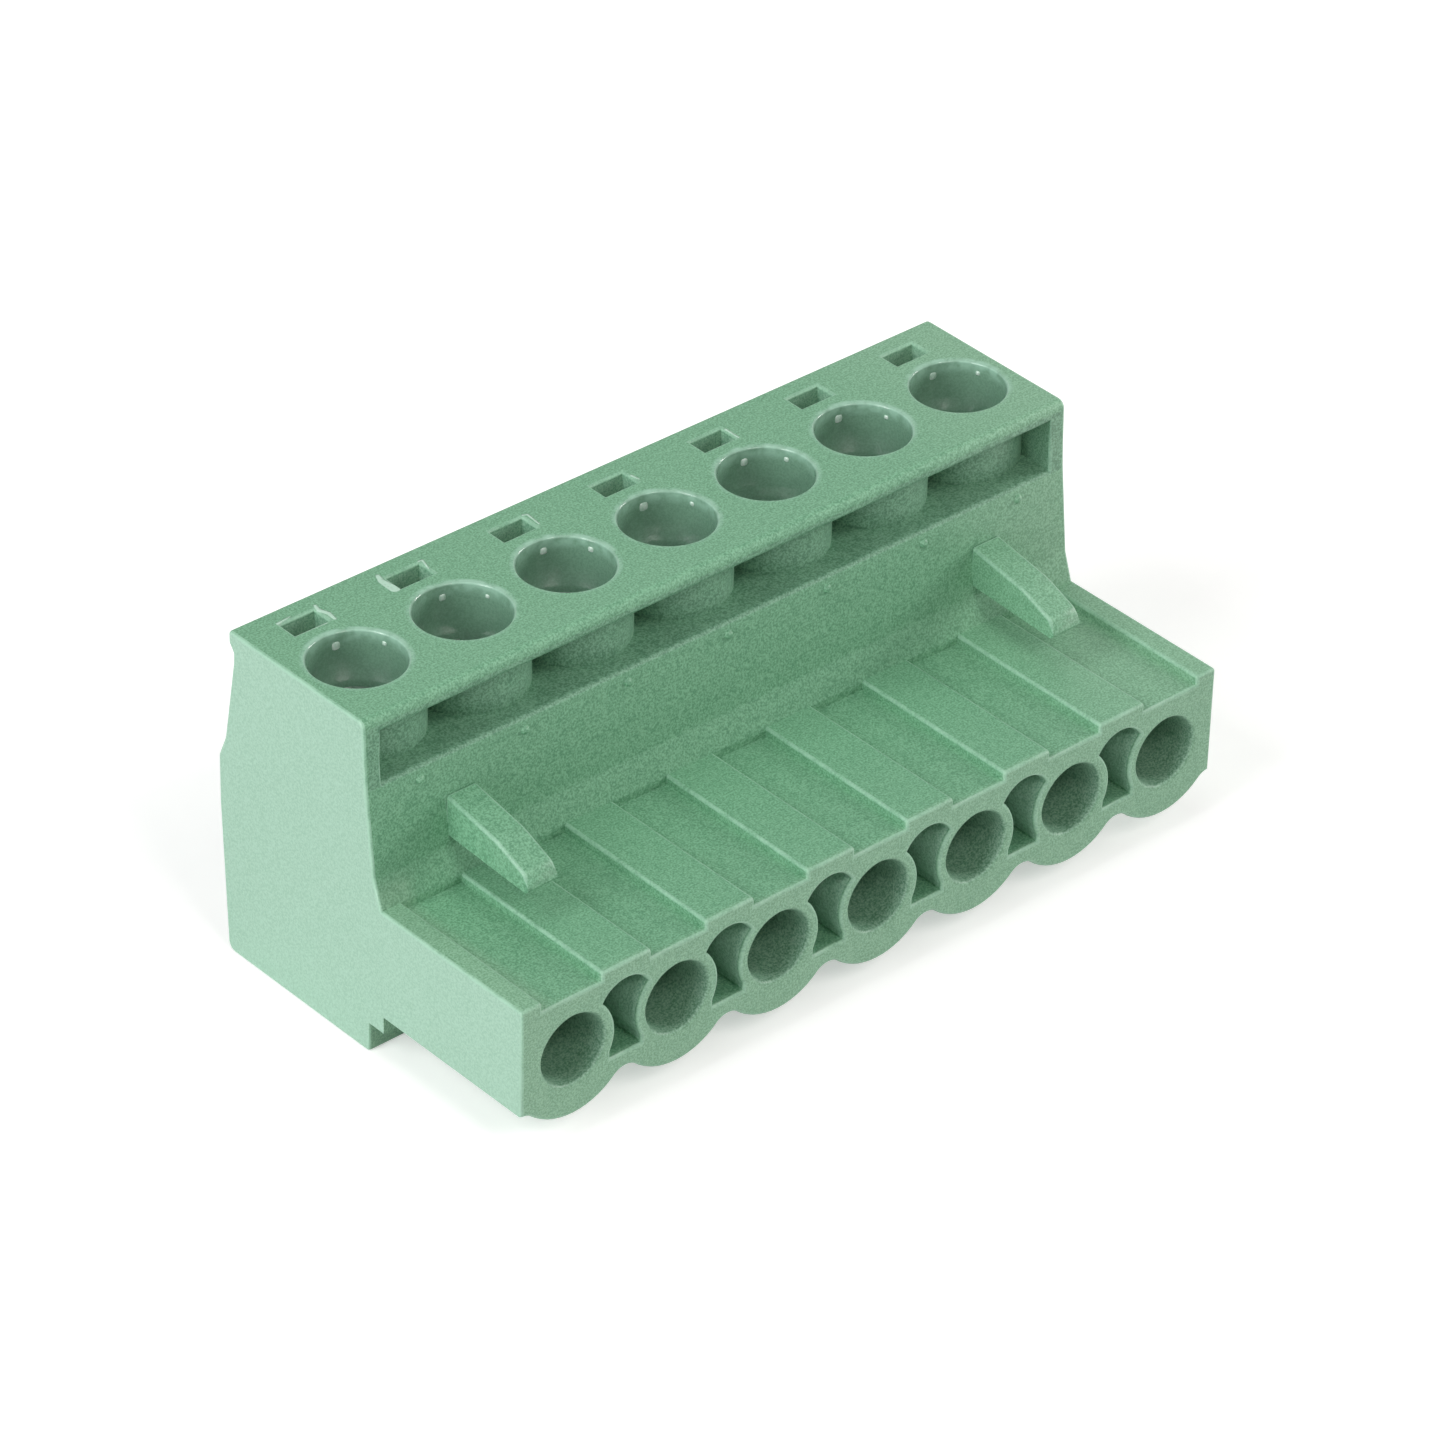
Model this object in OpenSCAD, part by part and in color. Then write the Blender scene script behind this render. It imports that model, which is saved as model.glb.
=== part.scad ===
// Pluggable screw-clamp terminal block: the plug half, which carries the wires.
// X runs along the row of poles, -Y is the plug-in side, +Y is the wire side and Z is up.
// The origin is the centre of the footprint, on the underside.
// Inside the modules, Y counts back from the plug face, so a depth reads as on a drawing.

/* [Row] */
// Number of poles in the row
pole_count = 7; // [2:1:12]
// Distance from one pole to the next
pitch = 5.08; // [4.8:0.04:5.6]

/* [Housing] */
// Length of the tongue, from the plug face to the foot of the front wall
tongue_d = 8.2; // [7.8:0.1:9.4]
// Depth of the tall block, from the foot of the front wall to the rearmost wall
block_d = 9.8; // [9.4:0.1:11.8]
// Height from the underside to the top face
body_height = 15; // [14.4:0.1:18]
// Foot of the front wall to the screw axes
screw_in = 4.45; // [4.3:0.05:4.8]
// Floor under the clamp cages
floor_t = 0.85; // [0.6:0.05:1.2]
// Ledge that holds each screw up by its head
ledge_t = 0.5; // [0.3:0.05:0.8]
// How far the foot of the rear wall leans in
rear_lean = 0.33; // [0.1:0.01:0.6]
// How far the neck under the rear lip sits in from the rearmost wall
neck_inset = 1.05; // [0.7:0.05:1.4]
// How far the top rear lip sits in from the rearmost wall
lip_inset = 0.8; // [0.5:0.05:0.95]
// Height of the shoulder where the wire side steps out
shoulder_z = 8.95; // [8.4:0.05:9.4]

/* [Front wall] */
// How far the wall just above its foot sits in from the foot
wall_low_in = 0.42; // [0.35:0.01:0.6]
// How far the wall at the sill of the window sits in from the foot
wall_high_in = 0.83; // [0.7:0.01:1.1]
// How far the front edge of the top face sits in from the foot
top_front_in = 0.95; // [0.85:0.05:1.3]
// Radius of the top front edge
top_edge_r = 0.35; // [0.1:0.05:0.6]
// How far the front of the underside sits in from the foot
underside_in = 0.8; // [0.4:0.1:1.4]
// Height of the step in front of the underside
step_z = 1.4; // [1.2:0.05:1.8]
// How far that step stands out before the foot
step_out = 0.1; // [0.05:0.05:0.6]

/* [Window] */
// Thickness of the top face over the window
lintel_t = 0.75; // [0.5:0.05:1]
// Height of the window
window_h = 2.2; // [1.8:0.1:2.4]
// Thickness of the end walls beside the window
window_end_wall = 0.78; // [0.5:0.02:1.2]
// Radius of the sill and of the lintel's lower edge
sill_r = 0.25; // [0.1:0.05:0.35]
// Wall round each screw well
well_wall = 0.7; // [0.4:0.05:0.9]

/* [Tongue] */
// Height of the top of the tongue
tongue_top = 7; // [6.8:0.05:7.2]
// Height of the socket axes
socket_z = 4.1; // [4:0.02:4.3]
// Radius of a socket at its mouth
socket_r = 1.5; // [1.45:0.01:1.6]
// Depth of the wide mouth of a socket
mouth_depth = 3.4; // [2.4:0.1:3.6]
// Wall of the barrel round each socket
barrel_wall = 0.5; // [0.4:0.05:0.6]
// Radius of the lobes under the tongue
lobe_r = 2.95; // [2.8:0.01:3]
// Radius of the valleys between the lobes
valley_r = 0.78; // [0.4:0.02:1]
// Width of the raised pads between the poles
pad_w = 2.4; // [1.6:0.1:3]
// Height of the pads above the recesses
pad_h = 0.4; // [0.2:0.05:0.6]
// Width of the raised strip at each end
end_strip_w = 1; // [0.6:0.1:1.3]

/* [Coding slots] */
// Depth of the slots between the barrels
slot_depth = 7.5; // [4:0.5:7.5]
// Radius of the arched top of a slot
slot_arch_r = 1.28; // [1.1:0.02:1.3]
// Height of the crown of a slot
slot_crown_z = 6.2; // [5.9:0.05:6.3]
// Height of the flat bottom of a slot
slot_bottom_z = 2.85; // [2.7:0.05:3.2]
// Width of a slot at its bottom
slot_bottom_w = 1.52; // [1.2:0.02:1.7]

/* [Latch noses] */
// Distance between the centres of the two noses
nose_spacing = 26.8; // [20:0.1:28]
// Thickness of a nose
nose_t = 1.45; // [1:0.05:2]
// Plug face to the tip of a nose
nose_tip = 4; // [3.5:0.1:5]
// Height of the underside of a nose at its tip
nose_z = 8.4; // [7.9:0.05:8.6]
// Height of a nose at its tip
nose_tip_h = 0.8; // [0.6:0.05:1]
// Height of a nose at the wall
nose_root_h = 1.95; // [1.7:0.05:2.3]

/* [Probe slots] */
// Width of a probe slot
probe_w = 1.6; // [1.2:0.1:2]
// Depth of a probe slot from front to rear
probe_d = 0.9; // [0.7:0.05:1]

/* [Screw] */
// Radius of the screw head
head_r = 1.84; // [1.8:0.01:1.95]
// Height of the screw head
head_h = 1.65; // [1.4:0.05:1.8]
// Depth of the head below the top face
head_drop = 2.4; // [2.3:0.05:2.6]
// Radius of the threaded shank
shank_r = 1.45; // [1.2:0.05:1.5]
// Width of the driver slot
driver_slot_w = 0.65; // [0.5:0.05:0.8]
// Depth of the driver slot
driver_slot_h = 0.8; // [0.5:0.05:1]
// Turn of the driver slot from one screw to the next
driver_slot_turn = 67; // [0:1:180]
// Chamfer at the head and at the tip
screw_chamfer = 0.15; // [0.1:0.05:0.3]

/* [Clamp cage] */
// Depth of the cage from front to rear
cage_d = 3.8; // [3.6:0.05:4]
// Side wall of the cage
cage_wall = 0.4; // [0.35:0.01:0.45]
// Floor of the cage
cage_floor = 0.6; // [0.4:0.05:0.8]
// Roof of the cage, which carries the thread
cage_roof = 1.4; // [1:0.1:1.6]
// Wire space under the tail with the clamp open
wire_gap = 3.4; // [3:0.1:3.5]
// Outer radius of the lower corners of the cage
cage_bend_r = 0.9; // [0.7:0.05:1]

/* [Contact] */
// Thickness of the contact strip
contact_t = 0.7; // [0.6:0.05:0.75]
// Width of the contact strip
contact_w = 2.5; // [2.4:0.02:2.54]
// Plug face to the tips of the fork
fork_tip = 3.8; // [3.5:0.1:5]
// How far the tail runs on behind the clamp chamber
tail_past = 1.55; // [1.4:0.05:1.9]
// Gap between the fork's arms
fork_gap = 1; // [0.8:0.05:1.2]
// Gap at the two contact points near the tips
fork_pinch = 0.8; // [0.6:0.05:0.8]

/* [Clearances] */
// Running clearance of the screw, round it and under its head and tip
screw_gap = 0.05; // [0.03:0.01:0.08]
// Sliding clearance round each cage
slide_gap = 0.1; // [0.05:0.01:0.14]

/* [Hidden] */
$fn = 64;
// Steps in each rounded corner of an outline
arc_steps = 6;
// How far a cut runs past the face that it opens
past = 1;
// How far two pieces of the moulding run into each other
bite = 0.1;
// How far a cut or a round stands off a face or a round that it would only graze
graze = 0.01;
// Small break of the lesser edges of the moulding
soft_r = 0.15;
// Break of the rims of the sockets and of the screw wells
socket_rim = 0.15;
well_rim = 0.1;
// Flared mouths of the wire passages: how far each side opens, and over what depth
flare_w = 0.15;
flare_d = 1;
// Room between the shank and the side walls of the cage, over the running clearance
cage_room = 0.05;
// Room that a well has over the running clearance of its screw head
well_room = 0.03;
// Room over the contact's tail, for the thread's run-out in the cage
tail_room = 0.3;
// Step at the rear end of a socket's wide mouth
socket_step = 0.16;
// Wall between a socket and the clamp chamber
socket_end_wall = 1.7;
// Flat stretches of the contact before and after its joggle, within that wall
joggle_before = 0.5;
joggle_after = 0.4;

body_w = pole_count * pitch;
body_depth = tongue_d + block_d;

// Depths of the front wall behind the plug face
wall_foot = tongue_d;
wall_low = wall_foot + wall_low_in;
wall_high = wall_foot + wall_high_in;
top_front = wall_foot + top_front_in;
underside_front = wall_foot + underside_in;
step_front = wall_foot - step_out;

// Heights, from the floor up
socket_deep_r = socket_r - socket_step;
cage_z = floor_t + slide_gap;
cage_floor_z = cage_z + cage_floor;
tail_z = cage_floor_z + wire_gap;
tail_top = tail_z + contact_t;
cage_roof_z = tail_top + tail_room;
cage_top = cage_roof_z + cage_roof;
passage_top = cage_top + 2 * slide_gap;
fork_z = socket_z - contact_t / 2;

// Heights, from the top face down
head_top = body_height - head_drop;
seat_z = head_top - head_h - screw_gap;
chamber_top = seat_z - ledge_t;
window_top = body_height - lintel_t;
sill_z = window_top - window_h;

// Depths and widths of the clamps
screw_depth = wall_foot + screw_in;
well_r = head_r + screw_gap + well_room;
post_r = well_r + well_wall;
cage_inner_w = 2 * (shank_r + screw_gap + cage_room);
cage_w = cage_inner_w + 2 * cage_wall;
chamber_w = cage_w + 2 * slide_gap;
chamber_front = screw_depth - cage_d / 2 - slide_gap;
chamber_rear = screw_depth + cage_d / 2 + slide_gap;
socket_depth = chamber_front - socket_end_wall;
joggle_start = socket_depth + joggle_before;
joggle_end = chamber_front - joggle_after;
tail_end = chamber_rear + tail_past;
// The probe slots stand midway in the solid between the chambers and the neck of the rear wall
probe_depth = (chamber_rear + body_depth - neck_inset) / 2;

// Front wall, which leans back a little from its foot to the window
foot_rise = 1.2;
foot_r = 0.8;
wall_low_z = tongue_top + foot_rise;
wall_slope = (wall_high - wall_low) / (sill_z - wall_low_z);
function wall_at(z) = wall_low + (z - wall_low_z) * wall_slope;

function pole_x(i) = (i - (pole_count + 1) / 2) * pitch;
function unit(v) = v / norm(v);

// One corner b of an outline, between a and c, rounded to radius r
function round_corner(a, b, c, r) =
    let (u = unit(a - b), v = unit(c - b))
    let (half = acos(u * v) / 2)
    let (o = b + unit(u + v) * r / sin(half))
    let (p = b + u * r / tan(half) - o, q = b + v * r / tan(half) - o)
    let (from = atan2(p[1], p[0]))
    let (sweep = (atan2(q[1], q[0]) - from + 540) % 360 - 180)
    [for (k = [0 : arc_steps]) o + r * [cos(from + sweep * k / arc_steps), sin(from + sweep * k / arc_steps)]];

// Outline from corners given as [across, up, radius]
function rounded(c) =
    let (n = len(c))
    let (at = [for (k = c) [k[0], k[1]]])
    [for (k = [0 : n - 1])
        each c[k][2] == 0 ? [at[k]] : round_corner(at[(k + n - 1) % n], at[k], at[(k + 1) % n], c[k][2])];

// Moves a piece so that its Y is counted from the plug face
module behind_plug_face() {
    translate([0, -body_depth / 2, 0]) children();
}

// An outline of depth and height, run along the row
module along_row(outline, length) {
    rotate([90, 0, 90]) linear_extrude(height = length, center = true) polygon(outline);
}

// A plane shape of width and height, run back from one depth to another
module front_to_rear(from, to) {
    translate([0, to, 0]) rotate([90, 0, 0]) linear_extrude(height = to - from) children();
}

module at_poles() {
    for (i = [1 : pole_count]) translate([pole_x(i), 0, 0]) children();
}

module between_poles() {
    for (i = [1 : pole_count - 1]) translate([pole_x(i) + pitch / 2, 0, 0]) children();
}

// Rear of the block: where the leaning foot ends below the shoulder, how the shoulder
// slopes in, and the heights of the neck and the lip below the top face
lean_drop = 2.2;
shoulder_r = 0.8;
shoulder_in = 0.43;
shoulder_rise = 1;
neck_r = 2;
neck_drop = 1.3;
lip_drop = 0.9;
lip_face_drop = 0.55;
heel_r = 0.4;

// End outline of the tall block
function block_outline() = rounded([
    [underside_front, 0, soft_r],
    [body_depth - rear_lean, 0, heel_r],
    [body_depth, shoulder_z - lean_drop, 0],
    [body_depth, shoulder_z, shoulder_r],
    [body_depth - shoulder_in, shoulder_z + shoulder_rise, neck_r],
    [body_depth - neck_inset, body_height - neck_drop, neck_r],
    [body_depth - neck_inset, body_height - lip_drop, soft_r],
    [body_depth - lip_inset, body_height - lip_face_drop, soft_r],
    [body_depth - lip_inset, body_height, soft_r],
    [top_front, body_height, top_edge_r],
    [(wall_at(sill_z) + top_front) / 2, window_top - window_h / 2, 0],
    [wall_at(sill_z), sill_z, 0],
    [wall_low, wall_low_z, foot_r],
    [wall_foot, tongue_top, 0],
    [wall_foot, tongue_top - pad_h - bite, 0],
    [step_front, tongue_top - pad_h - bite, 0],
    [step_front, step_z, 0],
    [underside_front, step_z, 0],
]);

// End outline of the window, with its sill and lintel rounded
function window_outline() = rounded([
    [wall_foot - past, window_top + 2 * sill_r, 0],
    [top_front - 2 * graze, window_top + 2 * sill_r, 0],
    [top_front - 2 * graze, window_top, sill_r],
    [screw_depth, window_top, 0],
    [screw_depth, sill_z, 0],
    [wall_at(sill_z) - graze, sill_z, sill_r],
    [wall_at(sill_z - 2 * sill_r) - graze, sill_z - 2 * sill_r, 0],
    [wall_foot - past, sill_z - 2 * sill_r, 0],
]);

// The window runs past all the poles, and the walls of the screw wells stand in it
module window() {
    difference() {
        along_row(window_outline(), body_w - 2 * window_end_wall);
        at_poles() translate([0, screw_depth, sill_z - past])
            cylinder(r = post_r, h = window_h + 2 * past);
    }
}

// Half-height band of the tongue, with a lobe round each socket and a round valley between lobes
module tongue_face() {
    valley_z = socket_z - sqrt(pow(lobe_r + valley_r, 2) - pow(pitch / 2, 2));
    touch = pitch / 2 * valley_r / (lobe_r + valley_r);
    intersection() {
        union() {
            at_poles() translate([0, socket_z]) circle(r = lobe_r);
            for (i = [0 : pole_count]) translate([pole_x(i) + pitch / 2, 0]) difference() {
                translate([-touch, valley_z]) square([2 * touch, socket_z - valley_z]);
                // a valley that met the lobes at a mere touch would leave slivers
                translate([0, valley_z]) circle(r = valley_r + graze / 4);
            }
            translate([-body_w / 2, socket_z]) square([body_w, tongue_top - pad_h - socket_z]);
        }
        translate([-body_w / 2, 0]) square([body_w, tongue_top - pad_h]);
    }
    translate([0, tongue_top - pad_h - bite]) {
        between_poles() translate([-pad_w / 2, 0]) square([pad_w, pad_h + bite]);
        for (side = [-1, 1])
            translate([side * (body_w - end_strip_w) / 2 - end_strip_w / 2, 0])
                square([end_strip_w, pad_h + bite]);
    }
}

// Arched slot between two barrels, closed by their round walls at its sides
module coding_slot_face() {
    difference() {
        union() {
            translate([0, slot_crown_z - slot_arch_r]) circle(r = slot_arch_r);
            translate([-slot_bottom_w / 2, slot_bottom_z])
                square([slot_bottom_w, slot_crown_z - slot_arch_r - slot_bottom_z]);
        }
        for (side = [-1, 1]) translate([side * pitch / 2, socket_z]) circle(r = socket_r + barrel_wall);
    }
}

// One latch nose: its blunt tip, the ramp behind it, the flatter stretch up to the wall,
// and the underside, which rises a little towards the wall
nose_edge_r = 0.1;
nose_chamfer = 0.18;
nose_ramp = 0.25;
nose_ramp_r = 0.5;
nose_flat = 1.65;
nose_flat_rise = 0.64;
nose_flat_r = 2;
nose_undercut = 0.22;
function nose_outline() = rounded([
    [wall_at(nose_z) + 2 * bite, nose_z + nose_undercut, 0],
    [nose_tip + nose_chamfer, nose_z, nose_edge_r],
    [nose_tip, nose_z + nose_chamfer, nose_edge_r],
    [nose_tip + nose_ramp, nose_z + nose_tip_h, nose_ramp_r],
    [nose_tip + nose_ramp + nose_flat, nose_z + nose_tip_h + nose_flat_rise, nose_flat_r],
    [wall_at(nose_z) + 2 * bite, nose_z + nose_root_h, 0],
]);

// The space of one clamp: a tall chamber for the cage and a lower passage out to the wire side
module clamp_space() {
    along_row([
        [chamber_front, floor_t],
        [body_depth + past, floor_t],
        [body_depth + past, passage_top],
        [chamber_rear, passage_top],
        [chamber_rear, chamber_top],
        [chamber_front, chamber_top],
    ], chamber_w);
}

// Flared mouth of a wire passage
module wire_funnel() {
    inner = body_depth - rear_lean - flare_d;
    outer = body_depth + past;
    // the flare goes on at the same slope past the face
    out = flare_w * (outer - inner) / flare_d;
    intersection() {
        along_row([
            [inner, floor_t],
            [outer, floor_t - out],
            [outer, passage_top + out],
            [inner, passage_top],
        ], pitch);
        linear_extrude(height = body_height) polygon([
            [-chamber_w / 2, inner],
            [-chamber_w / 2 - out, outer],
            [chamber_w / 2 + out, outer],
            [chamber_w / 2, inner],
        ]);
    }
}

// Screw well with a broken rim, and the hole for the shank through the ledge
module screw_well() {
    translate([0, screw_depth, seat_z]) cylinder(r = well_r, h = body_height - seat_z + past);
    translate([0, screw_depth, body_height - well_rim])
        cylinder(r1 = well_r, r2 = well_r + 2 * well_rim, h = 2 * well_rim);
    translate([0, screw_depth, chamber_top - bite])
        cylinder(r = shank_r + screw_gap, h = ledge_t + 2 * bite);
}

// Socket for one pin, with the fork behind its wide mouth
module socket() {
    rotate([-90, 0, 0]) {
        translate([0, -socket_z, -past]) cylinder(r = socket_r, h = mouth_depth + past);
        translate([0, -socket_z, 0]) cylinder(r = socket_deep_r, h = socket_depth);
        translate([0, -socket_z, -socket_rim])
            cylinder(r1 = socket_r + 2 * socket_rim, r2 = socket_r, h = 2 * socket_rim);
    }
    translate([-contact_w / 2, socket_depth - bite, fork_z])
        cube([contact_w, chamber_front - socket_depth + 2 * bite, tail_top - fork_z]);
}

// Slot from the top face down to the tail of the contact
module probe_slot() {
    translate([-probe_w / 2, probe_depth - probe_d / 2, passage_top - bite])
        cube([probe_w, probe_d, body_height - passage_top + past]);
}

// The housing is one moulding, with a small locating pip on the front wall at each pole
pip_r = 0.2;
pip_drop = 0.55;
module housing() {
    pip_z = sill_z - pip_drop;
    color([0.47, 0.68, 0.55]) behind_plug_face() difference() {
        union() {
            difference() {
                along_row(block_outline(), body_w);
                window();
            }
            front_to_rear(0, underside_front + bite) tongue_face();
            for (side = [-1, 1]) translate([side * nose_spacing / 2, 0, 0])
                along_row(nose_outline(), nose_t);
            at_poles() translate([0, wall_at(pip_z) + pip_r / 4, pip_z]) sphere(r = pip_r, $fn = 24);
        }
        between_poles() front_to_rear(-past, slot_depth) coding_slot_face();
        at_poles() {
            clamp_space();
            wire_funnel();
            screw_well();
            socket();
            probe_slot();
        }
    }
}

// Slotted cheese-head clamping screw, held by the ledge and the contact's tail
module screw(i) {
    seat = seat_z + screw_gap;
    tip = tail_top + screw_gap;
    color([0.72, 0.73, 0.74]) behind_plug_face() translate([pole_x(i), screw_depth, 0]) difference() {
        rotate_extrude() polygon([
            [0, tip],
            [shank_r - screw_chamfer, tip],
            [shank_r, tip + screw_chamfer],
            [shank_r, seat],
            [head_r, seat],
            [head_r, head_top - screw_chamfer],
            [head_r - screw_chamfer, head_top],
            [0, head_top],
        ]);
        rotate([0, 0, i * driver_slot_turn])
            translate([-driver_slot_w / 2, -2 * head_r, head_top - driver_slot_h])
                cube([driver_slot_w, 4 * head_r, driver_slot_h + past]);
    }
}

// Lifting cage: a bent steel sleeve, open to front and rear, with the thread in its roof
// and three teeth cut across its floor, which grip the wire
cage_top_r = 0.3;
tooth = 0.12;
tooth_margin = 0.4;
module cage(i) {
    color([0.78, 0.78, 0.76]) behind_plug_face() translate([pole_x(i), screw_depth, 0]) difference() {
        front_to_rear(-cage_d / 2, cage_d / 2) difference() {
            polygon(rounded([
                [-cage_w / 2, cage_z, cage_bend_r],
                [cage_w / 2, cage_z, cage_bend_r],
                [cage_w / 2, cage_top, cage_top_r],
                [-cage_w / 2, cage_top, cage_top_r],
            ]));
            polygon(rounded([
                [-cage_inner_w / 2, cage_floor_z, cage_bend_r - cage_wall],
                [cage_inner_w / 2, cage_floor_z, cage_bend_r - cage_wall],
                [cage_inner_w / 2, cage_roof_z, 0],
                [-cage_inner_w / 2, cage_roof_z, 0],
            ]));
        }
        translate([0, 0, cage_roof_z - bite]) cylinder(r = shank_r + screw_gap, h = cage_roof + past);
        for (k = [-1 : 1]) translate([0, k * cage_d / 4, cage_floor_z])
            along_row([[-tooth, tooth / 2], [0, -tooth], [tooth, tooth / 2]], cage_inner_w - 2 * tooth_margin);
    }
}

// Fork contact: two arms for the pin, then a joggle up to the tail that runs through the cage.
// The arms taper over their front stretch, and the gap opens at its mouth, pinches and widens.
arm_taper = 0.12;
arm_taper_d = 1.5;
strip_corner_r = 0.1;
tail_corner_r = 0.2;
mouth_flare = 0.25;
mouth_r = 0.2;
pinch_d = 0.8;
pinch_r = 0.3;
fork_root = 1.1;
module contact(i) {
    lean = atan2(tail_z - fork_z, joggle_end - joggle_start);
    back = contact_t * tan(lean / 2);
    root = socket_depth - fork_root;
    color([0.86, 0.85, 0.80]) behind_plug_face() translate([pole_x(i), 0, 0]) intersection() {
        along_row([
            [fork_tip, fork_z],
            [joggle_start, fork_z],
            [joggle_end, tail_z],
            [tail_end, tail_z],
            [tail_end, tail_top],
            [joggle_end - back, tail_top],
            [joggle_start - back, fork_z + contact_t],
            [fork_tip, fork_z + contact_t],
        ], contact_w);
        linear_extrude(height = body_height) difference() {
            polygon(rounded([
                [arm_taper - contact_w / 2, fork_tip, strip_corner_r],
                [contact_w / 2 - arm_taper, fork_tip, strip_corner_r],
                [contact_w / 2, fork_tip + arm_taper_d, 0],
                [contact_w / 2, tail_end, tail_corner_r],
                [-contact_w / 2, tail_end, tail_corner_r],
                [-contact_w / 2, fork_tip + arm_taper_d, 0],
            ]));
            polygon(rounded([
                [-fork_gap / 2 - mouth_flare, fork_tip - past, 0],
                [fork_gap / 2 + mouth_flare, fork_tip - past, 0],
                [fork_gap / 2 + mouth_flare, fork_tip, mouth_r],
                [fork_pinch / 2, fork_tip + pinch_d, pinch_r],
                [fork_gap / 2, fork_tip + 2 * pinch_d, pinch_r],
                [fork_gap / 2, root, fork_gap * 0.45],
                [-fork_gap / 2, root, fork_gap * 0.45],
                [-fork_gap / 2, fork_tip + 2 * pinch_d, pinch_r],
                [-fork_pinch / 2, fork_tip + pinch_d, pinch_r],
                [-fork_gap / 2 - mouth_flare, fork_tip, mouth_r],
            ]));
        }
    }
}

housing();
for (i = [1 : pole_count]) {
    screw(i);
    cage(i);
    contact(i);
}
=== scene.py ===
"""Looks of a seven-pole pluggable terminal block: moulded green plastic, plated clamp parts,
mould flash, studio light and the camera. Lengths in the source of the part are in millimetres;
MM turns them into metres here."""

import math
import random

import bmesh
import bpy
from mathutils import Matrix, Vector


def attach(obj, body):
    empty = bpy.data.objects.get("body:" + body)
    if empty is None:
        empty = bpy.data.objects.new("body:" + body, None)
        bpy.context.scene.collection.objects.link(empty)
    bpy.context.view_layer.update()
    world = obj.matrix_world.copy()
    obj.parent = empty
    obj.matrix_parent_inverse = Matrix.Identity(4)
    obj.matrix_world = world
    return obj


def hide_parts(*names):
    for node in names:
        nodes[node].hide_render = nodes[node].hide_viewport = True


MM = 0.001

# Sizes repeated from the part's source, in millimetres. Y is counted from the centre of the depth.
POLES = 7
PITCH = 5.08
BODY_W = POLES * PITCH
BODY_D = 18.0
BODY_H = 15.0
SCREW_Y = 12.65 - BODY_D / 2
WELL_R = 1.92
SEAT_Z = 10.9
SOCKET_Z = 4.1
SOCKET_R = 1.5
SOCKET_END_Y = 8.95 - BODY_D / 2
SOCKET_STEP_Y = 8.4 - BODY_D / 2
STEP_Y = 8.1 - BODY_D / 2
PIP_Z = 11.5
WELL_RIM = 0.1
TONGUE_TOP = 7.0
WALL_FOOT_Y = 8.2 - BODY_D / 2
NOSE_TIP_Y = 4.0 - BODY_D / 2
NOSE_Z = 8.4
SILL_Z = 12.05
WINDOW_TOP_Z = 14.6
PROBE_Y = 15.8 - BODY_D / 2
PROBE_W = 1.6
PROBE_D = 0.9
SLOT_END_Y = 7.5 - BODY_D / 2

# Rounds on the moulding's outer edges, how steep an edge is before it is rounded or kept sharp, and
# how much paler the rounds are painted, from 0 to 1: partly rubbed wear, partly painted highlight
EDGE_ROUND = 0.12
SHARP_ANGLE = math.radians(50)
WELD = 0.001
FLAT_ANGLE = math.radians(0.3)
WEAR_AND_HIGHLIGHT = 0.75
WEAR_AND_HIGHLIGHT_AT_END = 1.0

# Broken edges on the metal parts
SCREW_EDGE = 0.05
CAGE_EDGE = 0.06
CONTACT_EDGE = 0.03
BROKEN_ANGLE = math.radians(40)

# The nibs that keep each screw in its well: angle round the well from +X in degrees, height above the
# base and half the width in millimetres, then how they vary: degrees, millimetres and share of the size
NIBS = [(77.0, 14.42, 0.19), (22.0, 14.56, 0.115)]
NIB_PROUD = 0.07
NIB_SUNK = 0.02
NIB_SEED = 7
NIB_TURN = 3.0
NIB_SHIFT = 0.04
NIB_SCALE = (0.85, 1.1)
NIB_SQUARE = 0.45

# Flash left round the probe slots, measured in the photograph: pole, then the points of one stroke on
# the top face, each as X from the pole's axis, depth behind the front of the slot and half the width
FLASH = [
    (1, [(1.00, 1.08, 0.055), (0.93, 0.78, 0.07), (1.06, 0.34, 0.09), (1.02, -0.08, 0.06)]),
    (1, [(-0.85, 1.02, 0.045), (-0.20, 1.09, 0.02)]),
    (1, [(-0.88, -0.04, 0.02), (0.60, -0.12, 0.025)]),
    (2, [(-0.98, 1.18, 0.08), (-1.10, 0.80, 0.12), (-1.08, 0.46, 0.16), (-1.03, 0.10, 0.22)]),
    (2, [(0.86, 1.00, 0.02), (1.01, 0.96, 0.04), (0.86, 0.40, 0.02)]),
    (3, [(0.92, 0.98, 0.03), (1.08, 0.88, 0.04), (1.00, 0.10, 0.03)]),
    (4, [(0.92, 0.50, 0.03), (0.97, 0.12, 0.03)]),
    (5, [(0.90, 0.72, 0.03), (0.90, -0.05, 0.02)]),
]
FLASH_SOFT = 0.035
FLASH_PROUD = 0.04

# Zones of the moulding painted in other colours, mostly as painted light and shade
CODING_REACH = 1.25
CODING_LOW_Z = 2.95
CODING_TOP_Z = 6.15
CODING_END_X = 16.5
WINDOW_BACK_Y = 5.5
LIT_PATCH_FROM_X = 9.0
LIT_PATCH_TO_X = 17.0
STRIP_FROM_X = -15.9
STRIP_TO_X = -16.5
STRIP_LOW_Z = 7.6
STRIP_TOP_Z = 8.2
RIM_HIGHLIGHT_DEPTH = 0.6
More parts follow.
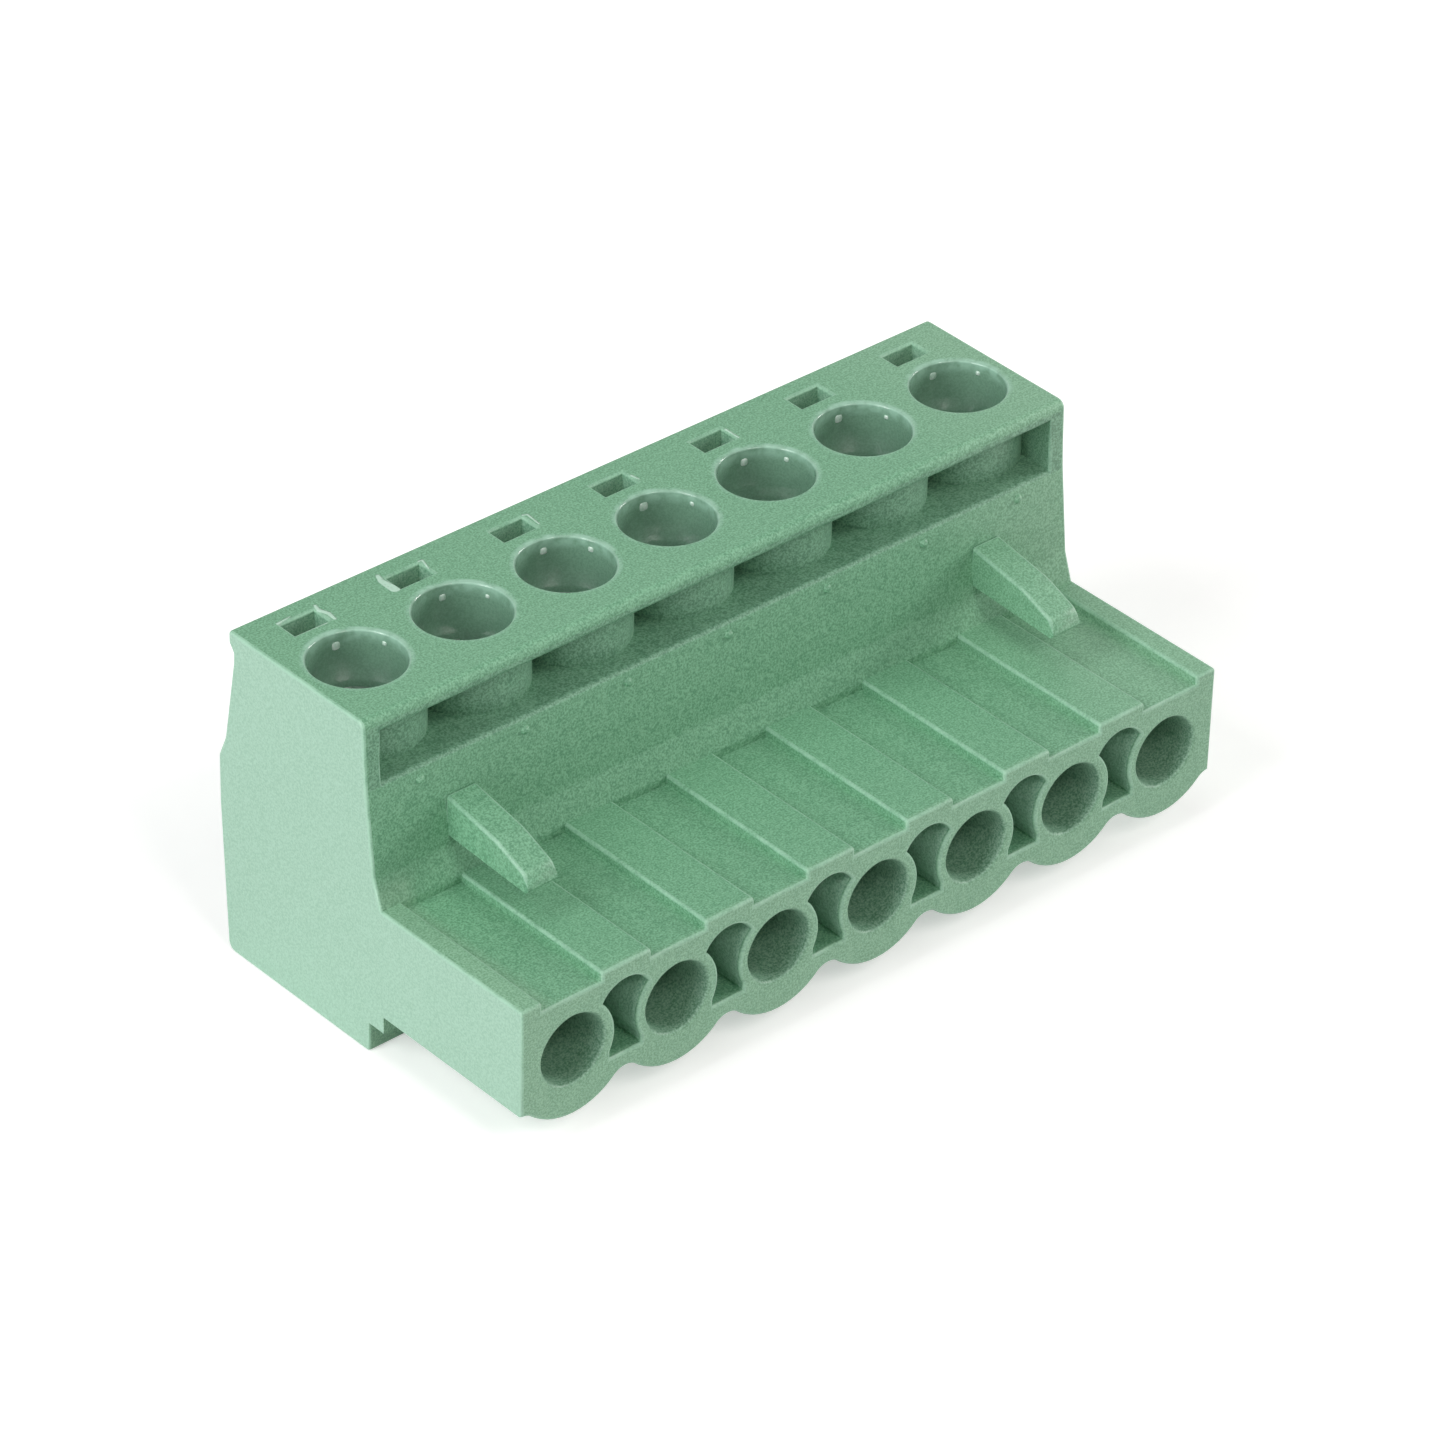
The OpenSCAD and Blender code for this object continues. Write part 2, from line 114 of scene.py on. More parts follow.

# Colours of the moulding, several of them painted light and shade as their names say
BASE = (0.150, 0.375, 0.215, 1.0)
PALE = (0.235, 0.490, 0.310, 1.0)
DEEP = (0.088, 0.255, 0.143, 1.0)
END_SHEEN_DARK = (0.262, 0.468, 0.342, 1.0)
END_SHEEN_LIGHT = (0.345, 0.560, 0.435, 1.0)
LIT_PATCH_DARK = (0.205, 0.380, 0.245, 1.0)
LIT_PATCH_LIGHT = (0.340, 0.550, 0.390, 1.0)
SLOT_REFLECTION_DARK = (0.200, 0.405, 0.275, 1.0)
SLOT_REFLECTION_LIGHT = (0.390, 0.620, 0.480, 1.0)
WINDOW_SHADE_DARK = (0.078, 0.190, 0.122, 1.0)
WINDOW_SHADE_LIGHT = (0.205, 0.390, 0.270, 1.0)
SOCKET_REFLECTION_DARK = (0.105, 0.250, 0.155, 1.0)
SOCKET_REFLECTION_LIGHT = (0.300, 0.500, 0.365, 1.0)
SOCKET_SHADE = (0.090, 0.190, 0.130, 1.0)
WELL_REFLECTION = (0.190, 0.345, 0.250, 1.0)
WELL_RIM_HIGHLIGHT = (0.330, 0.570, 0.435, 1.0)
WEAR_AND_HIGHLIGHT_COLOUR = (0.34, 0.58, 0.43, 1.0)
FLASH_TOP = (0.50, 0.74, 0.60, 1.0)
NIB_GLINT_DARK = (0.42, 0.64, 0.51, 1.0)
NIB_GLINT_LIGHT = (0.66, 0.80, 0.72, 1.0)
PLASTIC_IOR = 1.54

# Colours of the metals and of the floor
SCREW_DARK = (0.50, 0.51, 0.52, 1.0)
SCREW_LIGHT = (0.68, 0.69, 0.70, 1.0)
SCREW_TARNISH = (0.52, 0.50, 0.43, 1.0)
CAGE_DARK = (0.56, 0.55, 0.52, 1.0)
CAGE_LIGHT = (0.70, 0.69, 0.66, 1.0)
CAGE_STAIN = (0.48, 0.45, 0.38, 1.0)
CONTACT_DARK = (0.66, 0.64, 0.58, 1.0)
CONTACT_LIGHT = (0.78, 0.77, 0.73, 1.0)
CONTACT_SPANGLE = (0.60, 0.57, 0.48, 1.0)
PAPER_DARK = 0.80
PAPER_LIGHT = 0.84

# Scales of the moulding's noises, in cycles a metre
GRAIN = 12000.0
MOTTLE = 3600.0
PEEL = 1500.0
CLOUD = 190.0
DRIFT = 60.0

# Lamps: name, place in metres, side of the square, radiance and tint. 1 is the white of the background.
LAMPS = [
    ("left_softbox", (-0.58, -0.02, 0.15), 0.30, 5.7, (1.0, 0.97, 1.0)),
    ("left_high_softbox", (-0.45, 0.05, 0.42), 0.30, 5.2, (1.0, 1.0, 1.0)),
    ("top_softbox", (-0.05, 0.10, 0.60), 0.30, 1.5, (0.88, 1.0, 0.90)),
    ("front_lamp", (-0.05, -0.42, 0.45), 0.20, 8.0, (1.05, 0.97, 0.95)),
    ("right_lamp", (0.55, -0.20, 0.20), 0.20, 13.0, (1.06, 1.0, 1.0)),
]
LAMPS_AIM = (0.0, 0.0, 0.006)
DOME = 0.15

# The floor: its own light, half its side in metres and how far it lies below the part in millimetres
FLOOR_GLOW = 0.45
FLOOR_HALF = 1.5
FLOOR_DROP = 0.01

# The camera, worked out from the straight edges of the object in the photograph
CAMERA_AT = (-147.02, -163.31, 157.56)
CAMERA_FORWARD = (0.55189, 0.61433, -0.56393)
CAMERA_UP = (0.3591, 0.4352, 0.8256)
FOCAL_PX = 6874.5
FRAME_PX = 1440
SENSOR_MM = 36.0

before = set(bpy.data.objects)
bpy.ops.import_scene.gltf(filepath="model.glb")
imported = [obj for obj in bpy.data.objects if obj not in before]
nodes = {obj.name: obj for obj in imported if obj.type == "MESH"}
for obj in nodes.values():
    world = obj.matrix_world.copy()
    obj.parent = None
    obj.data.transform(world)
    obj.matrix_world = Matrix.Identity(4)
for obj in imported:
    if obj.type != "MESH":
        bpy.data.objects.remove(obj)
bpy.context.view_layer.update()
scene = bpy.context.scene


class Material:
    """A material whose nodes are added by name, with inputs given as values or as sockets. An input
    is named as Blender names it, with _ for a space, or by its number, as i0 for the first."""

    def __init__(self, name):
        self.material = bpy.data.materials.new(name)
        self.material.use_nodes = True
        self.tree = self.material.node_tree
        self.tree.nodes.clear()
        self.output = self.add("OutputMaterial")

    def add(self, kind, settings=None, **inputs):
        node = self.tree.nodes.new("ShaderNode" + kind)
        for key, value in (settings or {}).items():
            setattr(node, key, value)
        for key, value in inputs.items():
            by_number = key[0] == "i" and key[1:].isdigit()
            socket = node.inputs[int(key[1:]) if by_number else key.replace("_", " ")]
            if isinstance(value, bpy.types.NodeSocket):
                self.tree.links.new(value, socket)
            else:
                socket.default_value = value
        return node

    def math(self, operation, a, b=0.0, c=0.0, clamp=False):
        settings = {"operation": operation, "use_clamp": clamp}
        return self.add("Math", settings, i0=a, i1=b, i2=c).outputs[0]

    def mix_colour(self, share, a, b):
        return self.add("Mix", {"data_type": "RGBA"}, i0=share, i6=a, i7=b).outputs[2]

    def both(self, a, b):
        return self.math("MULTIPLY", a, b)

    def ramp(self, value, low, high, out_low=0.0, out_high=1.0, smooth=False):
        settings = {"clamp": True, "interpolation_type": "SMOOTHSTEP" if smooth else "LINEAR"}
        node = self.add("MapRange", settings, i0=value, i1=low, i2=high, i3=out_low, i4=out_high)
        return node.outputs[0]

    def noise(self, at, scale, detail=2.0, roughness=0.5):
        node = self.add("TexNoise", Vector=at, Scale=scale, Detail=detail, Roughness=roughness)
        return node.outputs[0]

    def vector(self, operation, output=0, **inputs):
        return self.add("VectorMath", {"operation": operation}, **inputs).outputs[output]

    def metal(self, colour, roughness, height, strength, distance):
        bump = self.add("Bump", Height=height, Strength=strength, Distance=distance * MM).outputs[0]
        bsdf = self.add("BsdfPrincipled", Base_Color=colour, Metallic=1.0, Roughness=roughness, Normal=bump)
        return self.finish(bsdf.outputs[0])

    def finish(self, shader):
        self.tree.links.new(shader, self.output.inputs["Surface"])
        return self.material


def grey(level):
    return (level, level, level, 1.0)


def pole_x(pole):
    """X of a pole's axis in millimetres, poles counted from 1."""
    return (pole - (POLES + 1) / 2) * PITCH


def pole_coordinates(m, at):
    """X from the nearest pole's axis, Y and Z, in metres."""
    xyz = m.add("SeparateXYZ", i0=at)
    half = PITCH * MM / 2
    x = m.math("WRAP", xyz.outputs[0], half, -half)
    return x, xyz.outputs[1], xyz.outputs[2]


def distance(m, a, b):
    """Length of the vector (a, b)."""
    return m.math("SQRT", m.math("ADD", m.both(a, a), m.both(b, b)))


def gap_to_line(m, at, start, end, half_start, half_end):
    """Distance outside a tapered line on the XY plane, below 0 on it."""
    along = Vector(end) - Vector(start)
    flat = m.vector("MULTIPLY", i0=at, i1=(1.0, 1.0, 0.0))
    rel = m.vector("SUBTRACT", i0=flat, i1=start)
    dot = m.vector("DOT_PRODUCT", "Value", i0=rel, i1=tuple(along))
    share = m.math("DIVIDE", dot, along.length_squared, clamp=True)
    near = m.vector("SCALE", i0=tuple(along), Scale=share)
    gap = m.vector("DISTANCE", "Value", i0=rel, i1=near)
    return m.math("SUBTRACT", gap, m.ramp(share, 0.0, 1.0, half_start, half_end))


def flash_height(m, at, z):
    """1 on the crests of the flash round the probe slots, 0 off it."""
    front = PROBE_Y - PROBE_D / 2
    height = None
    for pole, stroke in FLASH:
        points = [((pole_x(pole) + x) * MM, (front + depth) * MM, 0.0) for x, depth, half in stroke]
        halves = [half * MM for x, depth, half in stroke]
        for i in range(len(stroke) - 1):
            gap = gap_to_line(m, at, points[i], points[i + 1], halves[i], halves[i + 1])
            crest = m.ramp(gap, FLASH_SOFT * MM, -0.02 * MM, smooth=True)
            height = crest if height is None else m.math("MAXIMUM", height, crest)
    ragged = m.ramp(m.noise(at, scale=5200.0), 0.25, 0.45, 0.55, 1.0)
    on_top = m.ramp(z, (BODY_H - 0.1) * MM, (BODY_H - 0.02) * MM)
    return m.both(m.both(height, ragged), on_top)


def inside(m, value, low, high, soft=0.04):
    """1 between two lengths in millimetres, 0 outside them."""
    above = m.ramp(value, (low - soft) * MM, low * MM)
    return m.both(above, m.ramp(value, (high + soft) * MM, high * MM))


def speckles(m, speckle, low, high, dark, light):
    """A grainy colour between a dark and a light one."""
    return m.mix_colour(m.ramp(speckle, low, high), dark, light)


def plastic_material():
    """Green moulded polyamide: fine eroded grain, faint flow marks, polished wells and flash, with a
    painted sheen on the end faces, painted light on the plug face and row ends, painted reflections in
    slots, sockets and wells, painted shade deep in the sockets and behind the window, edges painted paler
    as wear and as painted highlight, and a painted highlight round each well."""
    m = Material("moulded_green")
    at = m.add("TexCoord").outputs["Object"]
    x, y, z = pole_coordinates(m, at)
    front = -BODY_D / 2
    end = BODY_W / 2

    grain = m.noise(at, GRAIN, detail=2.0, roughness=0.6)
    mottle = m.noise(at, MOTTLE, detail=1.0)
    peel = m.noise(at, PEEL, detail=2.0)
    cloud = m.noise(at, CLOUD, detail=3.0)
    drift = m.noise(at, DRIFT, detail=1.0)

    speckle = m.math("ADD", m.both(grain, 0.84), m.both(mottle, 0.16))
    colour = m.mix_colour(m.ramp(cloud, 0.32, 0.68, 0.0, 0.35), BASE, DEEP)
    colour = m.mix_colour(m.ramp(drift, 0.35, 0.7, 0.0, 0.5), colour, BASE)
    colour = m.mix_colour(0.8, colour, speckles(m, speckle, 0.40, 0.60, DEEP, PALE))

    # the end faces come off a smooth plate of the mould and are shinier than the rest; their paler, milkier
    # colour is a painted sheen for the light they catch
    normal = m.add("NewGeometry").outputs["True Normal"]
    facing = m.math("ABSOLUTE", m.add("SeparateXYZ", i0=normal).outputs[0])
    along_row = m.add("SeparateXYZ", i0=at).outputs[0]
    out_at_end = m.math("ABSOLUTE", along_row)
    end_face = m.both(m.ramp(facing, 0.55, 0.9), m.ramp(out_at_end, (end - 0.25) * MM, (end - 0.1) * MM))
    end_sheen = speckles(m, grain, 0.36, 0.64, END_SHEEN_DARK, END_SHEEN_LIGHT)
    colour = m.mix_colour(m.both(end_face, 0.94), colour, end_sheen)

    # painted light: the plug face, the right-hand end of the row and the strip beside the first recess are
    # painted paler where more light falls on them
    plug_face = m.both(m.ramp(y, (front + 0.3) * MM, (front + 0.1) * MM), 0.45)
    right_end = m.ramp(along_row, LIT_PATCH_FROM_X * MM, LIT_PATCH_TO_X * MM, 0.0, 0.42)
    left_strip = m.both(m.ramp(along_row, STRIP_FROM_X * MM, STRIP_TO_X * MM, 0.0, 0.5),
                        m.ramp(z, STRIP_TOP_Z * MM, STRIP_LOW_Z * MM))
    lit_patch = m.math("MAXIMUM", plug_face, m.math("MAXIMUM", right_end, left_strip))
    lit_patch = m.both(lit_patch, m.math("SUBTRACT", 1.0, end_face))
    colour = m.mix_colour(lit_patch, colour, speckles(m, speckle, 0.40, 0.60, LIT_PATCH_DARK, LIT_PATCH_LIGHT))

    # the slots are cut by sharp blades of the mould; inside them the colour is painted paler and greyer, a
    # painted reflection that lightens their shade
    between = m.math("SUBTRACT", PITCH / 2 * MM, m.math("ABSOLUTE", x))
    in_coding = m.both(inside(m, between, -1.0, CODING_REACH), inside(m, z, CODING_LOW_Z, CODING_TOP_Z))
    in_coding = m.both(in_coding, inside(m, y, front + 0.2, SLOT_END_Y))
    in_coding = m.both(in_coding, m.ramp(out_at_end, (CODING_END_X + 0.1) * MM, (CODING_END_X - 0.1) * MM))
    half_w = PROBE_W / 2 + 0.02
    half_d = PROBE_D / 2 + 0.02
    in_probe = m.both(inside(m, x, -half_w, half_w), inside(m, y, PROBE_Y - half_d, PROBE_Y + half_d))
    in_probe = m.both(in_probe, m.ramp(z, (BODY_H - 0.08) * MM, (BODY_H - 0.2) * MM, 0.0, 0.6))
    in_slot = m.math("MAXIMUM", in_coding, in_probe)
    slot_reflection = speckles(m, speckle, 0.38, 0.62, SLOT_REFLECTION_DARK, SLOT_REFLECTION_LIGHT)
    colour = m.mix_colour(m.both(in_slot, 0.9), colour, slot_reflection)

    # behind the long window the moulding is painted darker and duller, a painted shade for the hollow under
    # the top
    in_window = m.both(inside(m, z, SILL_Z - 0.1, WINDOW_TOP_Z),
                       inside(m, y, WALL_FOOT_Y + 0.35, WINDOW_BACK_Y))
    in_window = m.both(in_window, m.ramp(out_at_end, (end - 0.1) * MM, (end - 0.2) * MM))
    window_shade = speckles(m, speckle, 0.40, 0.60, WINDOW_SHADE_DARK, WINDOW_SHADE_LIGHT)
    colour = m.mix_colour(m.both(in_window, 0.55), colour, window_shade)

    # the outer edges, marked when they are rounded, are painted paler: partly rubbed wear, partly a painted
    # highlight along the rounds and round the well rims
    wear_and_highlight = m.add("Attribute", {"attribute_name": "wear_and_highlight"}).outputs["Fac"]
    worn_and_highlit = m.both(wear_and_highlight, m.ramp(m.noise(at, scale=1300.0), 0.30, 0.62, 0.25, 0.75))
    colour = m.mix_colour(worn_and_highlit, colour, WEAR_AND_HIGHLIGHT_COLOUR)

    # the wells are made by polished pins, so their walls are glossier than the eroded faces; their walls
    # are also painted greyer, a painted reflection
    behind_screw = m.math("SUBTRACT", y, SCREW_Y * MM)
    from_screw = distance(m, x, behind_screw)
    in_well = m.both(m.ramp(from_screw, (WELL_R + 0.12) * MM, (WELL_R + 0.05) * MM),
                     m.ramp(z, (SEAT_Z - 0.2) * MM, SEAT_Z * MM))
    colour = m.mix_colour(m.both(in_well, 0.7), colour, WELL_REFLECTION)

    # the sockets are rough; their colour is painted paler and greyer as a painted reflection, and darker
    # towards the contacts as painted shade
    from_pin = distance(m, x, m.math("SUBTRACT", z, SOCKET_Z * MM))
    in_socket = m.both(m.ramp(from_pin, (SOCKET_R + 0.12) * MM, (SOCKET_R + 0.05) * MM),
                       m.ramp(y, (SOCKET_END_Y + 0.2) * MM, SOCKET_END_Y * MM))
    socket_reflection = speckles(m, speckle, 0.38, 0.62, SOCKET_REFLECTION_DARK, SOCKET_REFLECTION_LIGHT)
    shade_deeper_in = m.ramp(y, (front + 1.0) * MM, (front + 3.6) * MM)
    socket_reflection = m.mix_colour(m.both(shade_deeper_in, 0.6), socket_reflection, SOCKET_SHADE)
    colour = m.mix_colour(m.both(in_socket, 0.85), colour, socket_reflection)

    # a painted highlight runs round each well, over its chamfer and the top of its wall, brighter on the
    # far, right-hand side
    rim_highlight = m.both(m.ramp(from_screw, (WELL_R + 0.29) * MM, (WELL_R + 0.15) * MM),
                 m.ramp(z, (BODY_H - RIM_HIGHLIGHT_DEPTH) * MM, (BODY_H - 0.15) * MM))
    rim_highlight = m.both(rim_highlight, m.ramp(m.noise(at, scale=2100.0), 0.34, 0.60, 0.15, 0.95))
    rim_highlight = m.both(rim_highlight, m.ramp(m.math("ADD", x, behind_screw), -1.6 * MM, 2.2 * MM, 0.35, 1.0))
    colour = m.mix_colour(rim_highlight, colour, WELL_RIM_HIGHLIGHT)

    flash = flash_height(m, at, z)
    colour = m.mix_colour(m.both(flash, 0.92), colour, FLASH_TOP)

    rough = m.math("ADD", m.ramp(grain, 0.3, 0.7, 0.40, 0.56), m.ramp(cloud, 0.3, 0.7, -0.03, 0.03))
    rough = m.add("Mix", i0=end_face, i2=rough, i3=0.30).outputs[0]
    rough = m.add("Mix", i0=in_well, i2=rough, i3=0.13).outputs[0]

    smooth = m.math("MAXIMUM", m.both(in_well, 0.85), m.both(end_face, 0.45))
    height = m.math("ADD", m.both(grain, 0.75), m.both(peel, 0.35))
    height = m.both(height, m.math("SUBTRACT", 1.0, smooth))
    bump = m.add("Bump", Height=height, Strength=0.6, Distance=0.009 * MM).outputs[0]
    bump = m.add("Bump", Height=flash, Strength=1.0, Distance=FLASH_PROUD * MM, Normal=bump).outputs[0]
    bsdf = m.add("BsdfPrincipled", Base_Color=colour, Roughness=rough, Normal=bump, IOR=PLASTIC_IOR)
    return m.finish(bsdf.outputs[0])


def screw_material():
    """Zinc-plated steel, turned: fine rings round the axis and a little tarnish."""
    m = Material("plated_screw")
    at = m.add("TexCoord").outputs["Object"]
    x, y, z = pole_coordinates(m, at)
    radius = distance(m, x, m.math("SUBTRACT", y, SCREW_Y * MM))
    rings = m.math("SINE", m.both(m.math("ADD", radius, m.both(z, 0.6)), 90000.0))
    spots = m.noise(at, scale=1800.0, detail=3.0)
    cloud = m.noise(at, scale=420.0)
    colour = m.mix_colour(m.ramp(spots, 0.35, 0.7), SCREW_DARK, SCREW_LIGHT)
    colour = m.mix_colour(m.ramp(cloud, 0.45, 0.75, 0.0, 0.4), colour, SCREW_TARNISH)
    roughness = m.math("ADD", m.ramp(spots, 0.3, 0.7, 0.22, 0.36), m.both(rings, 0.03))
    height = m.math("ADD", m.both(rings, 0.25), spots)
    return m.metal(colour, roughness, height, strength=0.4, distance=0.004)


def cage_material():
    """Pressed steel, nickel plated: rolling marks along the strip and soft stains."""
    m = Material("plated_cage")
    at = m.add("TexCoord").outputs["Object"]
    stretched = m.add("Mapping", {"vector_type": "POINT"}, i0=at, Scale=(1.0, 0.05, 1.0)).outputs[0]
    marks = m.noise(stretched, scale=9000.0)
    stain = m.noise(at, scale=700.0, detail=3.0)
    colour = m.mix_colour(m.ramp(marks, 0.35, 0.7), CAGE_DARK, CAGE_LIGHT)
    colour = m.mix_colour(m.ramp(stain, 0.5, 0.8, 0.0, 0.5), colour, CAGE_STAIN)
    roughness = m.ramp(marks, 0.3, 0.7, 0.26, 0.42)
    return m.metal(colour, roughness, marks, strength=0.4, distance=0.004)


def contact_material():
    """Tin-plated brass: pale satin metal with a warm cast and spangle."""
    m = Material("tinned_contact")
    at = m.add("TexCoord").outputs["Object"]
    spangle = m.add("TexVoronoi", {"feature": "F1"}, Vector=at, Scale=2600.0).outputs["Distance"]
    cloud = m.noise(at, scale=900.0, detail=3.0)
    colour = m.mix_colour(m.ramp(cloud, 0.35, 0.7), CONTACT_DARK, CONTACT_LIGHT)
    colour = m.mix_colour(m.ramp(spangle, 0.1, 0.7, 0.0, 0.25), colour, CONTACT_SPANGLE)
    roughness = m.ramp(cloud, 0.3, 0.7, 0.28, 0.44)
    return m.metal(colour, roughness, spangle, strength=0.3, distance=0.003)


def nib_glint_material():
    """The same plastic, smoother, and painted pale as a painted glint."""
    m = Material("glinting_green")
    at = m.add("TexCoord").outputs["Object"]
    glint_mottle = m.noise(at, scale=5200.0)
    colour = speckles(m, glint_mottle, 0.35, 0.65, NIB_GLINT_DARK, NIB_GLINT_LIGHT)
    bump = m.add("Bump", Height=glint_mottle, Strength=0.4, Distance=0.006 * MM).outputs[0]
    rough = m.ramp(glint_mottle, 0.3, 0.7, 0.16, 0.30)
    bsdf = m.add("BsdfPrincipled", Base_Color=colour, Roughness=rough, Normal=bump, IOR=PLASTIC_IOR)
    return m.finish(bsdf.outputs[0])


def paint(piece, material):
    piece.data.materials.clear()
    piece.data.materials.append(material)


def stays_sharp(edge):
    """True for the edges that a moulding keeps crisp: round the pips, deep in the sockets, behind
    the lobes and at the tips of the noses, where two rounds would run into each other."""
    for vert in edge.verts:
        x, y, z = vert.co / MM
        x -= PITCH * round(x / PITCH)
        if abs(y) < 0.5 and math.hypot(x, z - PIP_Z) < 0.3:
            return True
        if y > SOCKET_STEP_Y and math.hypot(x, z - SOCKET_Z) < SOCKET_R + 0.1 and z < BODY_H / 2:
            return True
        if abs(y - STEP_Y) < 0.15 and z < SOCKET_Z:
            return True
        if NOSE_TIP_Y - 0.05 < y < NOSE_TIP_Y + 0.4 and NOSE_Z - 0.1 < z < NOSE_Z + 0.38:
            return True
    return False


def is_well_rim(face):
    """The narrow chamfer round the top of a screw well."""
    z = face.calc_center_median().z / MM
    return abs(BODY_H - z - WELL_RIM / 2) < 0.02 and 0.3 < face.normal.z < 0.9


def is_wall_foot(face):
    """The round along the foot of the front wall, which is not painted paler and so carries no painted
    highlight.
    """
    middle = face.calc_center_median() / MM
    return abs(middle.y - WALL_FOOT_Y) < EDGE_ROUND and abs(middle.z - TONGUE_TOP) < EDGE_ROUND


def rounded_copy(node):
    """The same body with its outer edges rounded, and the rounds and well rims marked to be painted paler,
    partly as wear and partly as a painted highlight: those of the end faces and the well rims most."""
    shape = bmesh.new()
    shape.from_mesh(node.data)
    bmesh.ops.remove_doubles(shape, verts=shape.verts, dist=WELD * MM)
    bmesh.ops.dissolve_limit(shape, angle_limit=FLAT_ANGLE, verts=shape.verts, edges=shape.edges)
    wear_and_highlight = shape.faces.layers.float.new("wear_and_highlight")
    outer = [edge for edge in shape.edges if edge.is_manifold and not stays_sharp(edge)
             and edge.calc_face_angle_signed() > SHARP_ANGLE]
    made = bmesh.ops.bevel(shape, geom=outer, offset=EDGE_ROUND * MM, offset_type="OFFSET", segments=2,
                           profile=0.5, affect="EDGES", clamp_overlap=False, miter_outer="ARC")
    shape.normal_update()
    for face in made["faces"]:
        at_end = abs(face.calc_center_median().x) > (BODY_W / 2 - EDGE_ROUND) * MM
        face[wear_and_highlight] = WEAR_AND_HIGHLIGHT_AT_END if at_end else WEAR_AND_HIGHLIGHT
    for face in shape.faces:
        # the chamfer round each well takes the full paler paint, a painted highlight
        if is_well_rim(face):
            face[wear_and_highlight] = WEAR_AND_HIGHLIGHT_AT_END
        if is_wall_foot(face):
            face[wear_and_highlight] = 0.0
        face.smooth = True
    for edge in shape.edges:
        edge.smooth = edge.is_manifold and edge.calc_face_angle() < SHARP_ANGLE
    mesh = bpy.data.meshes.new(node.name + "_rounded")
    shape.to_mesh(mesh)
    shape.free()
    piece = bpy.data.objects.new(node.name + "_rounded", mesh)
    scene.collection.objects.link(piece)
    even = piece.modifiers.new("flat_faces_stay_flat", "WEIGHTED_NORMAL")
    even.keep_sharp = True
    return piece


def nibs():
    """Small rounded nibs on the walls of the wells, near the top, one mesh for all."""
    rng = random.Random(NIB_SEED)
    shape = bmesh.new()
    for pole in range(1, POLES + 1):
        for angle, height, half in NIBS:
            turn = math.radians(angle + rng.uniform(-NIB_TURN, NIB_TURN))
            out = Vector((math.cos(turn), math.sin(turn), 0.0))
            up = Vector((0.0, 0.0, 1.0))
            side = out.cross(up)
            middle = Vector((pole_x(pole), SCREW_Y, height + rng.uniform(-NIB_SHIFT, NIB_SHIFT)))
            middle += out * (WELL_R + NIB_SUNK)
            size = half * rng.uniform(*NIB_SCALE)
            made = bmesh.ops.create_icosphere(shape, subdivisions=3, radius=1.0)
            for vert in made["verts"]:
                across, along, proud = vert.co
                square = max(abs(across), abs(along), 0.001) / max(math.hypot(across, along), 0.001)
                wide = size / (1.0 - NIB_SQUARE + NIB_SQUARE * square)
                vert.co = (middle + (side * across + up * along) * wide - out * proud * NIB_PROUD) * MM
    mesh = bpy.data.meshes.new("well_nibs")
    shape.to_mesh(mesh)
    shape.free()
    mesh.shade_smooth()
    piece = bpy.data.objects.new("well_nibs", mesh)
    scene.collection.objects.link(piece)
    paint(piece, nib_glint_material())
    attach(piece, "housing")


def soften(node, width):
    """Slightly broken edges on a metal part, without changing its mesh."""
    edges = node.modifiers.new("broken_edges", "BEVEL")
    edges.width = width * MM
    edges.segments = 2
    edges.limit_method = "ANGLE"
    edges.angle_limit = BROKEN_ANGLE
    edges.use_clamp_overlap = True
    edges.harden_normals = True


plastic = plastic_material()
screw_metal = screw_material()
cage_metal = cage_material()
contact_metal = contact_material()
for name, node in nodes.items():
    if name == "housing":
        moulding = rounded_copy(node)
        paint(moulding, plastic)
        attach(moulding, "housing")
        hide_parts(name)
    elif name.startswith("screw"):
        paint(node, screw_metal)
        soften(node, SCREW_EDGE)
    elif name.startswith("cage"):
        paint(node, cage_metal)
        soften(node, CAGE_EDGE)
    else:
        paint(node, contact_metal)
        soften(node, CONTACT_EDGE)
nibs()


def area_light(name, at, side, radiance, tint):
    """A square lamp with a given radiance, aimed at the object."""
    data = bpy.data.lights.new(name, "AREA")
    data.shape = "RECTANGLE"
    data.size = side
    data.size_y = side
    data.energy = radiance * math.pi * side * side
    data.color = tint
    lamp = bpy.data.objects.new(name, data)
    scene.collection.objects.link(lamp)
    lamp.location = at
    lamp.rotation_mode = "QUATERNION"
    lamp.rotation_quaternion = (Vector(LAMPS_AIM) - Vector(at)).to_track_quat("-Z", "Y")


